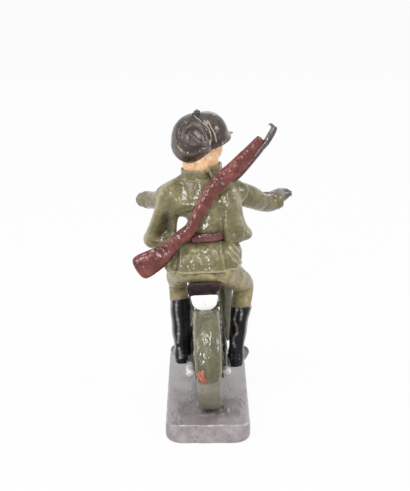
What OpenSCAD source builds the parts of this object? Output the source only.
// Toy soldier riding a motorcycle on a plinth.
// Millimetres, +Z up, +Y the way the motorcycle points, +X to the rider's right.
// The origin is the centre of the plinth's underside.
// The motorcycle and rider are modelled upright above the plinth's top face,
// then leaned and shifted as one by on_plinth().

/* [Plinth] */
// Width of the plinth
plinth_w = 22; // [20:0.5:26]
// Length of the plinth
plinth_l = 72; // [70:0.5:80]
// Thickness of the plinth
plinth_h = 5.2; // [4.5:0.1:7]
// Radius of the plinth's corners seen from above
plinth_corner = 2.6; // [1.5:0.1:4]
// Rounding of the plinth's lower edge
plinth_edge = 1.3; // [0.5:0.1:2]

/* [Stance] */
// Lean of the motorcycle towards its left side, in degrees
lean = 2.5; // [0:0.5:4]
// Sideways place of the wheels on the plinth
stance_x = 0.8; // [0:0.1:1.5]

/* [Wheels] */
// Outer radius of the tyres
tyre_r = 13.2; // [12.6:0.1:13.4]
// Width of the tyres
tyre_w = 6.4; // [6:0.1:6.5]
// Radius of the tyre's seat on the rim
rim_r = 9; // [8.5:0.1:9.5]
// Radius of the tyre's shoulders
tyre_shoulder = 1.9; // [1:0.1:2.2]
// Place of the rear axle along the plinth
rear_axle_y = -20.9; // [-21.5:0.1:-20.6]
// Distance between the wheel axles
wheelbase = 43.2; // [43:0.1:44.5]
// How deep the tyres dip into the plinth
tyre_sink = 0.15; // [0.1:0.05:0.4]
// Radius of the axles
axle_r = 0.8; // [0.6:0.05:0.9]
// Number of spokes in a wheel
spokes = 10; // [6:1:14]

/* [Motorcycle] */
// Outer radius of the mudguards
guard_r = 14.6; // [14.4:0.1:15]
// Width of the mudguards
guard_w = 6.9; // [6.8:0.05:7]
// Thickness of the mudguards
guard_t = 0.6; // [0.5:0.05:0.7]
// Radius of the frame's tubes
tube_r = 0.65; // [0.5:0.05:0.7]
// Distance of the fork blades from the middle plane
stay_x = 4.45; // [4.4:0.05:4.8]
// Thickness of the flat rear stays
strap_t = 0.4; // [0.3:0.05:0.5]
// Rake of the steering axis from upright, in degrees
rake = 20.5; // [18:0.5:22]
// Height of the saddle's top above the plinth
seat_z = 33; // [32.5:0.5:35]
// Width of the saddle at its rear
saddle_w = 9; // [8:0.1:9.2]
// Height of the grips above the plinth
grip_z = 51.5; // [50.5:0.5:53]
// Reach of the handlebar to the left
bar_left = 18.4; // [18:0.2:20]
// Reach of the handlebar to the right
bar_right = 25; // [24:0.2:26]
// Radius of the handlebar tube
bar_r = 0.75; // [0.6:0.05:0.9]

/* [Rider] */
// Height of the belt above the saddle
belt_rise = 10; // [9.5:0.5:11]
// Height of the belt
belt_h = 2; // [1.6:0.1:2.4]
// Height of the shoulders above the saddle
shoulder_rise = 25.4; // [25:0.2:27]
// Height of the stand-up collar
collar_h = 3.4; // [2.8:0.2:4]
// Radius of the neck
neck_r = 4.1; // [3.6:0.1:4.3]
// Turn of the head towards the rider's right, in degrees
head_turn = 45; // [20:5:60]
// Radius of the helmet's dome
helmet_r = 6; // [5.7:0.1:6.4]
// Thickness of the rifle
rifle_t = 2.4; // [1.8:0.1:2.8]

/* [Hidden] */
// Clearance between pieces that only lie beside each other
gap = 0.15;
// Radial clearance of a shaft that turns or slides in a bore
run = 0.05;
// Clearance around a tyre in its groove
tyre_gap = 0.35;
// Facets of the round forms that are blended together
ball_fn = 18;
$fn = 48;

// Paint colours
olive = "#6e6a4c";
dark_olive = "#55533d";
stone = "#9c9696";
oxblood = "#6f3a36";
gun_black = "#26272b";
skin = "#e3a178";
silver_paint = "#d8d6d0";

// Shared places, upright above the plinth's top face
axle_z = tyre_r - tyre_sink;
rear_axle_at = [0, rear_axle_y, axle_z];
front_axle_at = [0, rear_axle_y + wheelbase, axle_z];
hub_half = tyre_w / 2;
guard_half = guard_w / 2;
seat = [0, -9, seat_z];
saddle_under = seat_z - 2.8;
// A point at a height along the steering axis, measured from the front axle
function steer(t, x = 0) =
  [x, front_axle_at.y - t * sin(rake), axle_z + t * cos(rake)];
// Heights along the steering axis: fork crown, head tube, lamp bracket, handlebar clamp
crown_t = guard_r + 5.9;
head_low = crown_t + 1.5;
head_high = head_low + 5.5;
bracket_t = head_high + 1.5;
boss_low = head_high + 5.5;
stem_top = boss_low + 2;
stem_r = 1;
hem_z = seat_z + 2.9;
belt_z = seat_z + belt_rise;
belt_top = belt_z + belt_h;
collar_z = seat_z + shoulder_rise + 1.2;
waist = [1, seat.y + 1.3, belt_z];
neck = [0.1, seat.y + 6.4, seat_z + shoulder_rise];
skull = neck + [1.5, 2.8, 9.9];
dome = neck + [2.2, 3, 12.3];
grip_y = steer(stem_top).y + 0.3;

// Placing helpers

module on_plinth()
  translate([stance_x, 0, plinth_h]) rotate([0, -lean, 0]) children();

// Turns a shape built around Z so that it lies along X
module along_x() rotate([0, 90, 0]) children();

// A round bar from point a to point b
module bar(a, b, r) {
  d = b - a;
  translate(a) rotate([0, acos(d.z / norm(d)), atan2(d.y, d.x)]) cylinder(r = r, h = norm(d));
}

// Round bars through a list of points, with slightly larger ball corners
corner_swell = 1.15;
module bent_bar(points, r) {
  for (i = [0:len(points) - 2]) bar(points[i], points[i + 1], r);
  for (i = [1:1:len(points) - 2]) translate(points[i]) sphere(r = r * corner_swell);
}

// A ball [x, y, z, radius], grown by a margin
module ball(b, grow = 0)
  translate([b.x, b.y, b.z]) sphere(r = b[3] + grow, $fn = ball_fn);

// One rounded form around several balls
module blend(balls, grow = 0) hull() for (b = balls) ball(b, grow);

// A tapering limb through a list of balls
module limb(balls, grow = 0)
  for (i = [0:len(balls) - 2]) blend([balls[i], balls[i + 1]], grow);

function ball_at(origin, offset, r) =
  [origin.x + offset.x, origin.y + offset.y, origin.z + offset.z, r];

// A flat tapering bar between two round ends [x, y, r]
module flat_bar(a, b) hull() {
  translate([a.x, a.y]) circle(r = a[2], $fn = 24);
  translate([b.x, b.y]) circle(r = b[2], $fn = 24);
}

// Half-spaces that pieces are cut with
big = 200;
module above(z) translate([-big / 2, -big / 2, z]) cube(big);
module below(z) translate([-big / 2, -big / 2, z - big]) cube(big);
module right_of(x) translate([x, -big / 2, -big / 2]) cube(big);
module left_of(x) translate([x - big, -big / 2, -big / 2]) cube(big);

// Points of an arc, for turned outlines
function arc(c, r, from, to, steps = 6) =
  [for (i = [0:steps]) let (a = from + (to - from) * i / steps) c + r * [cos(a), sin(a)]];

// Plinth

module plinth_slab(inset, z, h) {
  c = plinth_corner - inset;
  translate([0, 0, z]) linear_extrude(h) hull()
    for (sx = [-1, 1], sy = [-1, 1])
      translate([sx * (plinth_w / 2 - plinth_corner), sy * (plinth_l / 2 - plinth_corner)])
        circle(r = c, $fn = 32);
}

pillar_r = 1.5;
spigot_r = 1.1;
spigot_l = 3;

module plinth() color(stone) difference() {
  hull() {
    plinth_slab(plinth_edge, 0, 0.1);
    plinth_slab(plinth_edge * 0.3, plinth_edge * 0.4, 0.1);
    plinth_slab(0, plinth_edge, plinth_h - plinth_edge - 0.3);
    plinth_slab(0.3, plinth_h - 0.1, 0.1);
  }
  on_plinth() {
    for (c = [rear_axle_at, front_axle_at])
      translate(c) along_x()
        cylinder(r = tyre_r + tyre_gap, h = tyre_w + 2 * tyre_gap, center = true);
    translate([0, pillar_y, -spigot_l]) cylinder(r = spigot_r + run, h = big);
  }
}

// Motorcycle

case_y = 1.2;
case_z = 9.2;
case_r = 3.9;
case_half = 3;
rail_x = 2.6;
rail_z = 4.3;
deck_z = case_z + 4.3;
barrel_y = case_y + 0.5;
pillar_y = case_y;
gearbox_y = case_y - 4;

// A pillar that carries the engine on the plinth
module support_pillar() color(gun_black) on_plinth() translate([0, pillar_y, 0]) {
  translate([0, 0, -spigot_l + gap]) cylinder(r = spigot_r, h = spigot_l + case_z - 2 * gap);
  translate([0, 0, gap]) cylinder(r = pillar_r, h = case_z - case_r - 1.4 * gap);
}

seat_node = [0, seat.y, seat_z - 4.7];
cradle_rear_y = seat.y + 3.4;
cradle_front_y = 6.4;
bridge_gap = 1.09;
bridge_reach = guard_r + bridge_gap;
bridge_angle = 57.63;
bridge = rear_axle_at + bridge_reach * [0, cos(bridge_angle), sin(bridge_angle)];
cross_r = tube_r * 1.15;
down_knee = [0, cradle_front_y + 0.7, axle_z + 3];
down_foot = [0, cradle_front_y, rail_z + cross_r + 0.02];
strap_in = tyre_w / 2 + 0.3;
stay_end = strap_in - 0.02;
lug_r = 1.7;
lug_half = 0.55;

// An axle lug on a stay or fork blade
module lug(centre, side)
  translate(centre + [side * stay_x, 0, 0]) along_x()
    cylinder(r = lug_r, h = 2 * lug_half, center = true);

module lug_bore(centre)
  translate(centre) along_x() cylinder(r = axle_r + run, h = 4 * stay_x, center = true);

module cradle_cross(y, half, r) bar([-half, y, rail_z], [half, y, rail_z], r);

top_tube_at = steer((head_low + head_high) / 2) - [0, stem_r + 0.4, 0];
down_tube_at = steer(head_low + 1.4) - [0, stem_r + 0.4, 0];
seat_joint_r = tube_r * 1.6;

module top_tube(grow = 0) bar(top_tube_at, seat_node, tube_r + grow);

// Head tube, top tube, down tube and seat tube
module main_frame() color(dark_olive) on_plinth() difference() {
  union() {
    bar(steer(head_low), steer(head_high), stem_r + 0.8);
    top_tube();
    bent_bar([down_tube_at, down_knee, down_foot], tube_r);
    bar(seat_node, [0, cradle_rear_y, rail_z + cross_r + 0.02], tube_r);
    translate(seat_node) sphere(r = seat_joint_r);
  }
  bar(steer(head_low - 5), steer(head_high + 5), stem_r + run);
}

// Tube behind the saddle that carries the springs and joins the upper stays
module seat_bridge() color(dark_olive) on_plinth() difference() {
  union() {
    bar(bridge, seat_node, tube_r);
    bar(bridge - [stay_end, 0, 0], bridge + [stay_end, 0, 0], cross_r);
  }
  translate(seat_node) sphere(r = seat_joint_r + 0.02);
}

// Two rails under the engine, tied at both ends
module engine_cradle() color(dark_olive) on_plinth() {
  cradle_cross(cradle_front_y, rail_x + tube_r + 0.3, cross_r);
  cradle_cross(cradle_rear_y, stay_end, cross_r);
  for (s = [-1, 1])
    bar([s * rail_x, cradle_front_y, rail_z], [s * rail_x, cradle_rear_y, rail_z], tube_r);
}

// Flat upper and lower stay on one side, meeting at the axle
strap_w = 1.5;

module rear_stays(side) color(dark_olive) on_plinth()
  translate([side < 0 ? -strap_in - strap_t : strap_in, 0, 0])
    rotate([90, 0, 90]) linear_extrude(strap_t)
    difference() {
      union() {
        flat_bar([cradle_rear_y, rail_z, strap_w / 2], [rear_axle_y, axle_z, strap_w / 2]);
        flat_bar([bridge.y, bridge.z, strap_w / 2], [rear_axle_y, axle_z, strap_w / 2]);
        translate([rear_axle_y, axle_z]) circle(r = lug_r);
      }
      translate([rear_axle_y, axle_z]) circle(r = axle_r + run);
    }

module left_stays() rear_stays(-1);
module right_stays() rear_stays(1);

module crankcase() color(gun_black) on_plinth() difference() {
  union() {
    translate([0, case_y, case_z]) along_x() cylinder(r = case_r, h = 2 * case_half, center = true);
    translate([0, gearbox_y, case_z - 0.6]) along_x() cylinder(r = 1.9, h = 2 * case_half, center = true);
    translate([-2.7, barrel_y - 2.7, case_z]) cube([5.4, 5.4, deck_z - case_z]);
    for (s = [-1, 1]) translate([s * case_half, case_y, case_z]) along_x()
      cylinder(r = case_r - 1.2, h = 0.7, center = true);
  }
  translate([0, pillar_y, 0]) cylinder(r = spigot_r + run, h = case_z + gap);
}

fin_pitch = 1.1;
fin_t = 0.5;
fin_r = 3.3;
core_r = 2.3;
barrel_fins = 7;
head_fins = 3;
barrel_h = barrel_fins * fin_pitch;

// Outline of a finned cylinder from the axis outwards
function fin_outline(fins) = concat([[0, 0]],
  [for (i = [0:fins - 1], p = [[core_r, 0], [core_r, fin_pitch - fin_t],
                               [fin_r, fin_pitch - fin_t], [fin_r, fin_pitch]])
    [p.x, p.y + i * fin_pitch]], [[0, fins * fin_pitch]]);

module cylinder_barrel() color(silver_paint) on_plinth() translate([0, barrel_y, deck_z])
  rotate_extrude() polygon(fin_outline(barrel_fins));

module cylinder_head() color(silver_paint) on_plinth() translate([0, barrel_y, deck_z + barrel_h]) {
  rotate_extrude() polygon(fin_outline(head_fins));
  translate([0, 0, head_fins * fin_pitch]) cylinder(r1 = 2, r2 = 1.2, h = 1.2);
}

module carburettor() color(silver_paint) on_plinth()
  translate([0, barrel_y - fin_r - gap, deck_z + barrel_h / 2]) rotate([90, 0, 0]) {
    cylinder(r = 0.9, h = 2.6);
    translate([0, 0, 1.6]) cylinder(r = 1.4, h = 1);
    translate([0, 0, 1.2]) rotate([90, 0, 0]) translate([0, 0, -0.4]) cylinder(r = 0.8, h = 2.6);
  }

tank_front = steer((head_low + head_high) / 2).y - 3.43;
tank_rear = seat.y + 10.2;

module fuel_tank() color(olive) on_plinth() difference() {
  blend([for (s = [-1, 1]) each [
    [s * 1.5, tank_front, seat_z + 4.2, 2.5], [s * 1.2, tank_rear, seat_z + 0.2, 2.1],
    [s * 0.8, tank_front - 3, seat_z + 5, 2.4]]]);
  top_tube(gap);
  bar(down_tube_at, down_knee, tube_r + gap);
  bar(steer(head_low - 5), steer(head_high + 5), stem_r + 0.8 + gap);
}

cap_at = [0, tank_front - 3, seat_z + 7.4];

module tank_cap() color(silver_paint) on_plinth() translate(cap_at) {
  translate([0, 0, gap]) cylinder(r = 1.2, h = 0.8);
  translate([0, 0, gap + 0.8]) cylinder(r = 0.8, h = 0.3);
}

// Saddle with a raised rear lip
saddle_rear = seat.y - 11.2;
lip_y = saddle_rear + 2;

module saddle_plan(inset = 0) hull() {
  for (s = [-1, 1]) {
    translate([s * (saddle_w / 2 - 1.6), saddle_rear + 1.6]) circle(r = 1.6 - inset, $fn = 24);
    translate([s * (saddle_w / 2 - 2), seat.y - 2]) circle(r = 2 - inset, $fn = 24);
  }
  translate([0, seat.y + 6.4]) circle(r = 1.5 - inset, $fn = 24);
}

module saddle() color("#3a2523") on_plinth() difference() {
  union() {
    hull() {
      translate([0, 0, saddle_under]) linear_extrude(0.3) saddle_plan(0.7);
      translate([0, 0, seat_z - 1.2]) linear_extrude(1.2) saddle_plan();
    }
    translate([0, 0, seat_z - 0.5]) linear_extrude(1.5) intersection() {
      saddle_plan();
      translate([-saddle_w, saddle_rear - 1]) square([2 * saddle_w, lip_y - saddle_rear + 1]);
    }
  }
  top_tube(gap);
}

spring_r = 1;

module saddle_springs() color(gun_black) on_plinth() {
  base = bridge.z + cross_r + 0.02;
  turns = 4;
  pitch = (saddle_under - base) / turns;
  for (s = [-1, 1]) translate([s * 2.2, bridge.y, base])
    rotate_extrude() polygon(concat([[0, 0]],
      [for (i = [0:turns - 1], p = [[spring_r * 0.6, 0.01], [spring_r, pitch / 2],
                                    [spring_r * 0.6, pitch - 0.01]])
        [p.x, p.y + i * pitch]], [[0, turns * pitch]]));
  post_z = seat_node.z + seat_joint_r + 0.02;
  translate([0, seat.y, post_z]) cylinder(r = 0.5, h = saddle_under - post_z);
}

left_sole_z = 5.6;
right_sole_z = 4.9;
left_foot_y = 2.6;
right_foot_y = -0.4;
peg_r = 0.7;

module footrests() color(gun_black) on_plinth() {
  for (f = [[-1, left_foot_y, left_sole_z], [1, right_foot_y, right_sole_z]]) {
    inner = [f[0] * (rail_x + 0.05), f.y + 1.6, rail_z];
    outer = [f[0] * 8.6, f.y + 1.6, f.z - peg_r - gap];
    difference() {
      bar(inner, outer, peg_r);
      bar([f[0] * rail_x, cradle_front_y, rail_z], [f[0] * rail_x, cradle_rear_y, rail_z],
          tube_r + 0.02);
    }
  }
}

box_y = seat.y + 3;
box_l = 4.5;

// Tool box beside the engine on the right, carried from the seat tube
module tool_box() color(olive) on_plinth() {
  hull() {
    translate([3.6, box_y, seat_z - 5]) cube([2.6, box_l, 0.6]);
    translate([4.2, box_y + 0.4, axle_z + 1]) cube([1, box_l - 0.8, 0.4]);
  }
  bar([0.3, seat.y + 1.2, seat_z - 10], [4.6, box_y + 1.5, seat_z - 9], 0.4);
}

pipe_r = 0.75;
silencer_r = 1.15;
silencer_rear = -15;
silencer_front = -3.6;

module exhaust(side) color(silver_paint) on_plinth() {
  out = strap_in + strap_t + silencer_r + gap;
  bent_bar([
    [side * 1.2, barrel_y + fin_r + 0.1, deck_z + barrel_h + 1],
    [side * 3.6, barrel_y + 4.3, deck_z + 4],
    [side * (out - 0.2), barrel_y + 2.6, case_z],
    [side * out, silencer_front - 0.5, case_z - 1.3]], pipe_r);
  bar([side * out, silencer_front, case_z - 1.3], [side * out, silencer_rear, case_z - 1.5], silencer_r);
}

module left_exhaust() exhaust(-1);
module right_exhaust() exhaust(1);

// Cross-section of a mudguard: a crowned strip with turned-down edges
guard_crown = 1.2;
guard_skirt = 0.9;

function guard_outline(r, half) =
  [for (i = [-7:2:7]) let (a = i / 7) [r - guard_crown * a * a, half * a]];

guard_low = guard_r - guard_crown - guard_skirt;
guard_in = guard_half - guard_t * 0.6;

module guard_section() polygon(concat(
  [[guard_low, -guard_half]], guard_outline(guard_r, guard_half),
  [[guard_low, guard_half], [guard_low, guard_in]],
  [for (p = guard_outline(guard_r - guard_t, guard_in)) [p.x, -p.y]],
  [[guard_low, -guard_in]]));

// A mudguard around a wheel from one angle to another, counted from straight ahead upwards
module mudguard(centre, from, to)
  translate(centre) rotate([0, 90, 0]) rotate([0, 0, 90]) rotate([0, 0, from])
    rotate_extrude(angle = to - from, $fn = 96) guard_section();

rear_guard_from = 42;
rear_guard_to = 188;
front_guard_from = 25;
front_guard_to = 150;

module rear_mudguard() color(olive) on_plinth() {
  mudguard(rear_axle_at, rear_guard_from, rear_guard_to);
  toward = bridge - rear_axle_at;
  unit = toward / norm(toward);
  bar(rear_axle_at + unit * (guard_r - guard_t / 2),
      rear_axle_at + unit * (norm(toward) - cross_r - 0.02), 0.5);
}

module front_mudguard() color(olive) on_plinth() {
  mudguard(front_axle_at, front_guard_from, front_guard_to);
  bar(steer(guard_r - guard_t / 2), steer(crown_t - 1), 0.6);
}

plate_w = 7.1;
plate_t = 0.6;
plate_y = rear_axle_at.y - 2.2;
plate_top = saddle_under + 0.9;

// White plate standing on the rear mudguard, with a rounded foot
module number_plate() color("white") on_plinth() difference() {
  translate([0, plate_y + plate_t, 0]) rotate([90, 0, 0]) linear_extrude(plate_t) hull() {
    translate([-plate_w / 2, plate_top - 1]) square([plate_w, 1]);
    for (s = [-1, 1]) translate([s * (plate_w / 2 - 1.9), axle_z + guard_r + 1.5])
      circle(r = 1.9, $fn = 32);
  }
  translate(rear_axle_at) along_x() cylinder(r = guard_r + 0.02, h = 40, center = true, $fn = 96);
}

lamp_w = 2.5;
lamp_x = -2;

module tail_lamp() color("orangered") on_plinth() difference() {
  translate(rear_axle_at + [lamp_x, -guard_r, -0.1]) rotate([90, 0, 0]) {
    for (dz = [-0.6, 0.6]) translate([0, dz, -1.6]) cylinder(r = lamp_w / 2, h = 2.2);
    translate([0, 0, 0.6]) cylinder(r1 = lamp_w / 2 - 0.1, r2 = lamp_w / 2 - 0.6, h = 0.4);
  }
  translate(rear_axle_at) rotate([0, 90, 0]) rotate_extrude($fn = 96)
    polygon(concat([[0, -guard_half - 1]], [[guard_r - guard_crown, -guard_half - 1]],
      [for (p = guard_outline(guard_r + 0.03, guard_half + 0.03)) p],
      [[guard_r - guard_crown, guard_half + 1], [0, guard_half + 1]]));
}

// Wheels

module tyre(centre) color(dark_olive) on_plinth() translate(centre) along_x() rotate_extrude($fn = 96) {
  half = tyre_w / 2;
  s = tyre_shoulder;
  polygon(concat([[rim_r, -half + 0.8]], [[rim_r + 1.2, -half]],
    arc([tyre_r - s, -half + s], s, -90, 0), arc([tyre_r - s, half - s], s, 0, 90),
    [[rim_r + 1.2, half], [rim_r, half - 0.8]]));
}

module rear_tyre() tyre(rear_axle_at);
module front_tyre() tyre(front_axle_at);

hub_r = 2.2;
rim_t = 1.4;
rim_half = 2.4;

module rim(centre) color(silver_paint) on_plinth() translate(centre) difference() {
  union() {
    along_x() rotate_extrude($fn = 96)
      polygon([[rim_r - rim_t, -rim_half + 0.6], [rim_r, -rim_half],
               [rim_r, rim_half], [rim_r - rim_t, rim_half - 0.6]]);
    along_x() cylinder(r = hub_r, h = 2 * hub_half, center = true);
    for (i = [0:spokes - 1]) rotate([i * 360 / spokes, 0, 0])
      translate([0, 0, hub_r - 0.4]) cylinder(r = 0.45, h = rim_r - rim_t - hub_r + 0.8);
  }
  along_x() cylinder(r = axle_r + run, h = 4 * hub_half, center = true);
}

module rear_rim() rim(rear_axle_at);
module front_rim() rim(front_axle_at);

nut_r = 1.3;
nut_t = 0.9;

// An axle with a nut or rivet head outside each support
module axle(centre, half, head_t) color(gun_black) on_plinth() translate(centre) along_x() {
  cylinder(r = axle_r, h = 2 * (half + head_t), center = true);
  for (s = [-1, 1]) translate([0, 0, s * (half + head_t / 2)])
    cylinder(r = nut_r, h = head_t, center = true, $fn = 6);
}

module rear_axle() axle(rear_axle_at, strap_in + strap_t + 0.05, 0.4);
module front_axle() axle(front_axle_at, stay_x + lug_half + gap, nut_t);

// Steering

blade_r = 0.7;

crown_r = 1;

module fork_blade(side) color(olive) on_plinth() difference() {
  union() {
    bar(steer(0, side * stay_x), steer(crown_t, side * stay_x), blade_r);
    translate(steer(crown_t, side * stay_x)) sphere(r = crown_r * corner_swell);
    lug(front_axle_at, side);
  }
  lug_bore(front_axle_at);
  bar(steer(crown_t), steer(crown_t, side * (crown_half + 0.02)), crown_r + 0.02);
}

module left_fork_blade() fork_blade(-1);
module right_fork_blade() fork_blade(1);

crown_half = stay_x - blade_r;

module fork_crown() color(olive) on_plinth() {
  bar(steer(crown_t, -crown_half), steer(crown_t, crown_half), crown_r);
  bar(steer(crown_t), steer(head_low - 0.1), stem_r + 0.8);
  bar(steer(crown_t), steer(stem_top), stem_r);
}

boss_r = 1.6;
rise_x = 5.5;

module handlebar() color(dark_olive) on_plinth() difference() {
  union() {
    bar(steer(boss_low), steer(stem_top + 1.2), boss_r);
    for (s = [-1, 1]) {
      reach = s < 0 ? bar_left : bar_right;
      bent_bar([steer(stem_top), [s * rise_x, grip_y, grip_z], [s * reach, grip_y, grip_z]], bar_r);
    }
  }
  bar(steer(boss_low - 3), steer(stem_top + 0.1), stem_r + run);
}

grip_r = 1.1;
grip_l = 5;

module grip(side, reach) color(gun_black) on_plinth()
  translate([side * (reach - grip_l / 2 + 0.3), grip_y, grip_z]) along_x() difference() {
    cylinder(r = grip_r, h = grip_l, center = true);
    translate([0, 0, -side * 0.25]) cylinder(r = bar_r + run, h = grip_l, center = true);
  }

module left_grip() grip(-1, bar_left);
module right_grip() grip(1, bar_right);

lamp_z = steer(bracket_t).z;
lamp_y = steer(bracket_t).y + 3.2;
lamp_r = 3.1;
lamp_l = 4.4;

module headlamp_bracket() color(gun_black) on_plinth() difference() {
  union() {
    bar(steer(bracket_t - 0.8), steer(bracket_t + 1), 1.7);
    bar(steer(bracket_t), [0, lamp_y, lamp_z], 0.7);
  }
  bar(steer(bracket_t - 4), steer(bracket_t + 4), stem_r + run);
}

module headlamp_shell() color(olive) on_plinth()
  translate([0, lamp_y, lamp_z]) rotate([-90, 0, 0]) rotate_extrude()
    polygon(concat([[0, 0.02]], arc([0, lamp_r], lamp_r - 0.02, -80, -20),
      [[lamp_r, lamp_l], [lamp_r - 0.5, lamp_l], [lamp_r - 0.5, lamp_l - 0.8], [0, lamp_l - 0.8]]));

module headlamp_lens() color("ghostwhite") on_plinth()
  translate([0, lamp_y + lamp_l - 0.78, lamp_z]) rotate([-90, 0, 0]) rotate_extrude()
    polygon([[0, 0], [lamp_r - 0.55, 0], [lamp_r - 0.55, 0.7], [lamp_r - 1.4, 1.2], [0, 1.5]]);

// Rider, built up from the saddle

// Left and right differ: the left foot is further forward and higher
left_hip = ball_at(seat, [-4.6, 1.2, 3.4], 3.6);
right_hip = ball_at(seat, [5.2, 1.2, 3.4], 3.6);
left_knee = [-7.7, left_foot_y + 2.8, seat_z - 4.4, 3];
right_knee = [9.8, right_foot_y + 4.6, seat_z - 4.6, 3.3];
left_boot_top = left_sole_z + 20.2;
right_boot_top = right_sole_z + 18.5;
left_shin = [-7.1, left_foot_y + 1, left_boot_top, 2.6];
right_shin = [9.1, right_foot_y + 1, right_boot_top, 2.7];
straddle = saddle_w / 2 + 0.25;

module leg_form(side, grow = 0) limb(side < 0
  ? [left_hip, left_knee, left_shin, left_shin - [0, 0, 3, 0]]
  : [right_hip, right_knee, right_shin, right_shin - [0, 0, 3, 0]], grow);

module breeches() color(olive) on_plinth() difference() {
  union() {
    blend([ball_at(seat, [-3.4, -2.6, 4], 4), ball_at(seat, [3.8, -2.6, 4], 4),
           ball_at(seat, [-3.2, 3, 3.8], 4), ball_at(seat, [3.8, 3, 3.8], 4)]);
    leg_form(-1);
    leg_form(1);
    limb([left_hip, ball_at(seat, [0, 2, 4], 3.8), right_hip]);
  }
  above(hem_z);
  translate([-straddle, -big / 2, seat_z - big]) cube([2 * straddle, big, big]);
  intersection() { below(left_boot_top); left_of(0); }
  intersection() { below(right_boot_top); right_of(0); }
}

module boot(sole_z, shin, ankle, heel, toe) color(gun_black) on_plinth() difference() {
  union() {
    limb([shin + [0, 0, 2, 0], shin - [0, 0, 5, -0.1], ankle, heel]);
    limb([ankle, toe, heel]);
    blend([heel, toe, ankle]);
    blend([shin, shin - [0, 0, 5, -0.1]]);
  }
  below(sole_z);
  above(shin.z);
}

module left_boot() boot(left_sole_z, left_shin,
  [-7.9, left_foot_y, left_sole_z + 4, 2], [-7.9, left_foot_y - 1.2, left_sole_z + 2, 1.95],
  [-9.5, left_foot_y + 7, left_sole_z + 1.3, 1.6]);
module right_boot() boot(right_sole_z, right_shin,
  [8.5, right_foot_y, right_sole_z + 4, 2], [8.5, right_foot_y - 1.2, right_sole_z + 2, 1.95],
  [10, right_foot_y + 7, right_sole_z + 1.3, 1.6]);

// A long rounded outline around the waist, grown by a margin
waist_r = 3.3;
waist_side = 1.5;
module waist_plan(grow = 0) hull()
  for (s = [-1, 1]) translate([waist.x + s * waist_side, waist.y]) circle(r = waist_r + grow, $fn = 32);

plug_inset = -1.2;
plug_l = 1.6;

module tunic_skirt() color(olive) on_plinth() difference() {
  hull() {
    translate([0, 0, belt_z - 0.6]) linear_extrude(0.6) waist_plan(0.5);
    translate([0, 0, hem_z]) linear_extrude(0.8) hull()
      for (p = [[-4.2, -2.7], [6.4, -2.7], [-3.6, 4], [6, 4]])
        translate([p.x, seat.y + p.y]) circle(r = 3.4, $fn = 32);
    translate([0, 0, hem_z + 4.4]) linear_extrude(0.4) hull()
      for (p = [[-3.8, -2.4], [6.2, -2.4], [-3, 3.6], [5.6, 3.6]])
        translate([p.x, seat.y + p.y]) circle(r = 3, $fn = 32);
  }
  translate([0, 0, belt_z - plug_l - gap]) linear_extrude(big) waist_plan(plug_inset + gap);
}

module belt() color(oxblood) on_plinth() translate([0, 0, belt_z]) linear_extrude(belt_h) difference() {
  waist_plan(0.8);
  waist_plan(plug_inset + gap);
}

// The trunk in two masses, so that the waist stays narrow below the arms
module trunk_form(grow = 0) {
  blend([for (s = [-1, 1]) each [
    [waist.x + s * waist_side, waist.y, belt_top + 1.5, waist_r + 0.1],
    [waist.x * 0.5 + s * 2, waist.y + 2, belt_top + 8, 4]]], grow);
  blend([for (s = [-1, 1]) each [
    ball_at(neck, [s * 4.6, -2.6, -6], 4.2), ball_at(neck, [s * 6.4, -1.2, -3], 3.5),
    ball_at(neck, [s * 3, 0.6, -5], 4.4)]], grow);
}

collar_r = 5.3;
yoke_r = 8.6;
yoke_h = 3.6;

// Slope of the shoulders up to the collar
module yoke(grow = 0) translate([neck.x, neck.y - 0.6, collar_z - yoke_h])
  cylinder(r1 = yoke_r + grow, r2 = collar_r + 0.6 + grow, h = yoke_h);

module tunic_body() color(olive) on_plinth() difference() {
  union() {
    trunk_form();
    yoke();
    translate([0, 0, belt_z - plug_l]) linear_extrude(plug_l + belt_h + 2) waist_plan(plug_inset);
  }
  above(collar_z);
  difference() {
    below(belt_top);
    linear_extrude(big) waist_plan(plug_inset);
  }
}

module collar() color(olive) on_plinth() translate([neck.x, neck.y, collar_z]) difference() {
  cylinder(r1 = collar_r, r2 = neck_r + 0.9, h = collar_h);
  translate([0, 0, -1]) cylinder(r = neck_r + run, h = collar_h + 2);
}

// Short cape hanging over each shoulder, held out from the waist
module cape_form(side, grow = 0) {
  lower = side < 0 ? [-14.6, 1.4, -14.4, 2.1] : [10.9, 1.2, -14, 2];
  inner = side < 0 ? [-9.9, -1.8, -13.2, 1.7] : [7, -2.8, -14, 1.7];
  middle = side < 0 ? [-11.2, -0.6, -8, 2.6] : [9.2, -0.8, -8, 2.5];
  shoulder = [side * 7.4, -1.8, -2.6, 3.4];
  points = [for (p = [shoulder, middle, lower, inner]) ball_at(neck, [p.x, p.y - 2.2, p.z], p[3])];
  limb([points[0], points[1], points[2]], grow);
  blend([points[1], points[2], points[3]], grow);
  blend([points[0], points[1], ball_at(neck, [side * 6, -4.4, -4.4], 3)], grow);
}

module cape(side) color(olive) on_plinth() difference() {
  union() cape_form(side);
  trunk_form(gap);
  yoke(gap);
  translate([0, 0, belt_z - gap]) linear_extrude(belt_h + 2 * gap) waist_plan(0.8 + gap);
}

module cape_left() cape(-1);
module cape_right() cape(1);

left_wrist = [-15, grip_y - 0.4, grip_z - 0.1, 2.6];
right_wrist = [21.4, grip_y - 0.8, grip_z - 1.3, 2.7];

module sleeve_form(side, grow = 0) {
  wrist = side < 0 ? left_wrist : right_wrist;
  shoulder = ball_at(neck, [side * 7.6, 1.2, -3.6], 3.3);
  elbow = (shoulder + wrist) / 2 + [0, 0.4, -1, -0.1];
  limb([shoulder, elbow, wrist, wrist + [side * 2, 0.4, 0, 0.2]], grow);
}

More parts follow.
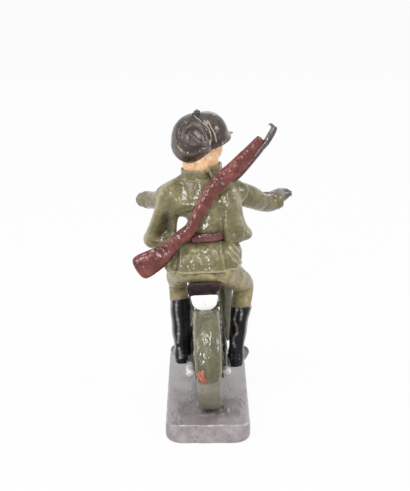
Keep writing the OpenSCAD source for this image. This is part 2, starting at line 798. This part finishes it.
module sleeve(side) color(olive) on_plinth() difference() {
  union() sleeve_form(side);
  trunk_form(gap);
  yoke(gap);
  cape_form(side, gap);
  if (side < 0) left_of(left_wrist.x);
  else right_of(right_wrist.x);
  bar([-big, grip_y, grip_z], [big, grip_y, grip_z], grip_r + gap);
  bar(steer(stem_top), [side * rise_x, grip_y, grip_z], bar_r + gap);
}

module left_sleeve() sleeve(-1);
module right_sleeve() sleeve(1);

module hand_bore() bar([-big, grip_y, grip_z], [big, grip_y, grip_z], grip_r + run);

module left_hand() color(gun_black) on_plinth() difference() {
  blend([[left_wrist.x, grip_y, grip_z - 0.2, 2.2], [left_wrist.x - 1.6, grip_y + 0.2, grip_z + 0.2, 2.1],
         [left_wrist.x - 1.4, grip_y + 0.5, grip_z - 0.6, 2.1]]);
  right_of(left_wrist.x - 0.02);
  hand_bore();
}

module right_hand() color(gun_black) on_plinth() difference() {
  blend([[right_wrist.x, grip_y, grip_z - 0.3, 2.1], [right_wrist.x + 1.8, grip_y + 0.3, grip_z + 0.4, 1.9],
         [right_wrist.x + 2.6, grip_y + 0.4, grip_z + 0.6, 1.6]]);
  left_of(right_wrist.x + 0.02);
  hand_bore();
}

// Head, turned on the neck

facing = 90 - head_turn;
function ahead(d, side = 0) = [d * cos(facing) + side * sin(facing), d * sin(facing) - side * cos(facing)];
skull_r = 4.9;

// Back of the neck, rising into the skull
module nape_form(grow = 0)
  blend([ball_at(neck, [0, 0, collar_h + 3], neck_r - 0.1),
         ball_at(skull, [0, 0, -1], skull_r - 0.6)], grow);

module head_form(grow = 0) {
  blend([ball_at(skull, [0, 0, 0], skull_r), ball_at(skull, [each ahead(2), -1.2], 3.6),
         ball_at(skull, [each ahead(2.6), -2.8], 2.3)], grow);
  blend([ball_at(skull, [each ahead(5), 0.2], 0.6), ball_at(skull, [each ahead(5.8), -1.5], 0.7),
         ball_at(skull, [each ahead(4.6), -1.7], 0.9)], grow);
  for (s = [-1, 1]) blend([ball_at(skull, [each ahead(-0.4, s * 4.6), -0.4], 0.9),
                           ball_at(skull, [each ahead(-0.2, s * 4.4), -1.9], 0.6)], grow);
}

// Height of the chin above the collar
chin_gap = 0.35;

module head() color(skin) on_plinth() {
  difference() {
    union() {
      head_form();
      nape_form();
    }
    below(collar_z + collar_h + chin_gap);
    difference() {
      helmet_solid(gap);
      helmet_cavity(gap);
    }
  }
  translate([neck.x, neck.y, collar_z + 0.1]) cylinder(r = neck_r, h = collar_h + 1.4);
}

helmet_t = 0.5;
brim_r = helmet_r + 0.7;
rim_drop = -2.4;
helmet_tilt = 8;

module helmet_place() translate(dome) rotate([0, 0, facing]) rotate([0, -helmet_tilt, 0]) children();

// Outline of the helmet's shell: dome, straight skirt and flared brim
module helmet_outline(inner) polygon(concat([[0, inner]], [[0, helmet_r]],
  [for (p = arc([0, 0], helmet_r, 90, 0, 8)) p],
  [[helmet_r + 0.1, rim_drop + 0.8], [brim_r, rim_drop],
   [brim_r - 0.2, rim_drop - 0.3], [inner, rim_drop - 0.3]],
  [for (p = arc([0, 0], inner, 0, 90, 8)) p]));

visor_r = 3.4;
visor_out = 4.6;

module helmet() color(gun_black) on_plinth() helmet_place() {
  rotate_extrude($fn = 64) helmet_outline(helmet_r - helmet_t);
  difference() {
    translate([visor_out, 0, rim_drop - 0.3]) cylinder(r = visor_r, h = 0.8);
    translate([0, 0, rim_drop - 1]) cylinder(r = helmet_r - 0.2, h = 3);
  }
}

// The helmet filled in and grown, for cutting what lies against it
module helmet_solid(grow) helmet_place() {
  sphere(r = helmet_r + grow, $fn = 40);
  translate([0, 0, rim_drop - 0.3 - grow]) {
    cylinder(r = helmet_r + 0.1 + grow, h = -rim_drop + 0.3, $fn = 40);
    cylinder(r1 = brim_r + grow, r2 = helmet_r + grow, h = 1.2 + 2 * grow, $fn = 40);
  }
}

// The space under the helmet's shell
module helmet_cavity(inset) helmet_place() {
  sphere(r = helmet_r - helmet_t - inset, $fn = 40);
  translate([0, 0, rim_drop - 2])
    cylinder(r = helmet_r - helmet_t - inset - 0.02, h = 2 - rim_drop, $fn = 40);
}

// Plume of feathers over the helmet's side, falling to the nape
plume_balls = [for (p = [[-2.7, -2.6, 14.2, 3.8], [-3.8, -2.8, 11, 4], [-2.6, -3.2, 8.7, 3],
                         [0.2, -3.4, 9.9, 3], [1, -3.2, 12.6, 2.9], [-1.2, -3.4, 11.6, 4.2]])
  ball_at(neck, [p.x, p.y, p.z], p[3])];

module plume() color("#2f2a29") on_plinth() difference() {
  union() {
    limb([plume_balls[0], plume_balls[1], plume_balls[2], plume_balls[3], plume_balls[4], plume_balls[0]]);
    blend(plume_balls);
    blend([plume_balls[0], ball_at(neck, [-0.2, -1.6, 18.6], 0.8)]);
  }
  helmet_solid(gap);
  head_form(gap);
  nape_form(gap);
  translate([neck.x, neck.y, collar_z]) cylinder(r = neck_r + gap, h = collar_h + 2);
  below(collar_z + collar_h + 0.5);
}

// Rifle slung across the back, butt low on the left, muzzle high on the right

rifle_at = [0, seat.y - 3.9, belt_z];
rifle_lean = -7;
butt_heel = [-17.7, -3.3, 1];
butt_toe = [-14.9, -7.4, 1];
butt_mid = [-9.4, -2.4, 2.5];
wrist_at = [-3.6, 2.4, 1.8];
receiver = [2.5, 12.4, 1.95];
forend_low = [6.5, 16.9, 2.05];
forend_mid = [10.5, 21.4, 1.6];
forend_tip = [16, 27.6, 1];
muzzle = [19.3, 31.3, 0.7];

module rifle_place() translate(rifle_at) rotate([90 + rifle_lean, 0, 0]) children();

module stock_plan() {
  hull() {
    flat_bar(butt_heel, butt_toe);
    translate([butt_mid.x, butt_mid.y]) circle(r = butt_mid[2], $fn = 24);
  }
  line = [butt_mid, wrist_at, receiver, forend_low, forend_mid, forend_tip];
  for (i = [0:len(line) - 2]) flat_bar(line[i], line[i + 1]);
}

module rifle_stock() color(oxblood) on_plinth() rifle_place() linear_extrude(rifle_t) stock_plan();

barrel_r = 0.6;
barrel_side = [0.74, -0.67];

module rifle_barrel() color(gun_black) on_plinth() rifle_place() difference() {
  from = [forend_mid.x, forend_mid.y] + barrel_side * (forend_mid[2] + 0.2);
  to = [muzzle.x, muzzle.y] + barrel_side * 0.6;
  bar([from.x, from.y, rifle_t / 2], [to.x, to.y, rifle_t / 2], barrel_r);
  translate([0, 0, -1]) linear_extrude(rifle_t + 2) {
    flat_bar(forend_low, forend_mid);
    flat_bar(forend_mid, forend_tip);
  }
}

module rifle_bolt() color(gun_black) on_plinth() rifle_place()
  translate([receiver.x + 0.6, receiver.y - 0.6, rifle_t + 0.02]) {
    cylinder(r = 0.7, h = 0.6);
    translate([0.9, -0.8, 0]) cylinder(r = 0.5, h = 0.5);
    bar([0, 0, 0.3], [0.9, -0.8, 0.3], 0.25);
  }

plinth();
support_pillar();
main_frame();
seat_bridge();
engine_cradle();
left_stays();
right_stays();
crankcase();
cylinder_barrel();
cylinder_head();
carburettor();
fuel_tank();
tank_cap();
saddle();
saddle_springs();
footrests();
tool_box();
left_exhaust();
right_exhaust();
rear_mudguard();
number_plate();
tail_lamp();
front_mudguard();
rear_tyre();
rear_rim();
rear_axle();
front_tyre();
front_rim();
front_axle();
left_fork_blade();
right_fork_blade();
fork_crown();
handlebar();
left_grip();
right_grip();
headlamp_bracket();
headlamp_shell();
headlamp_lens();
breeches();
left_boot();
right_boot();
tunic_skirt();
belt();
tunic_body();
collar();
cape_left();
cape_right();
left_sleeve();
right_sleeve();
left_hand();
right_hand();
head();
helmet();
plume();
rifle_stock();
rifle_barrel();
rifle_bolt();
